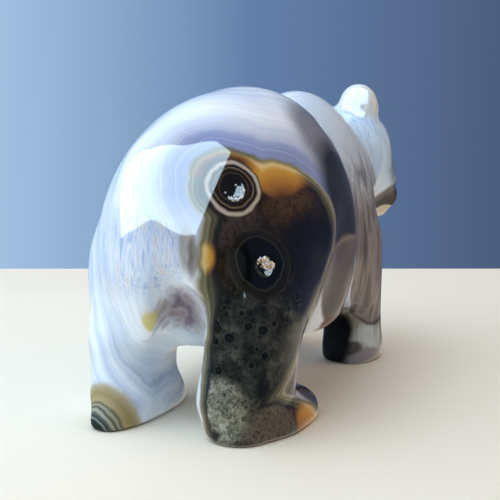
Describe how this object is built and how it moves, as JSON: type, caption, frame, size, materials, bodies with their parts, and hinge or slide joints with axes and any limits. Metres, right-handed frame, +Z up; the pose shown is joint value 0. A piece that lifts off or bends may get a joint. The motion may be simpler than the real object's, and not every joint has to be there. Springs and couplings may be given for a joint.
{
  "type": "bear carving",
  "caption": "Small standing bear carved from banded agate, with a high rounded rump, small round ears and a head lowered and turned to its right.",
  "frame": {"origin": "below the middle of the bear's box, on the level of its soles", "axes": "+Z up; the bear's body faces -Y, its right side towards -X, and its head is turned towards -X"},
  "size_m": [0.0514, 0.1154, 0.0704],
  "materials": {
    "banded_agate": "polished"
  },
  "bodies": {
    "root": {"agate_bear": "banded_agate"}
  },
  "joints": []
}
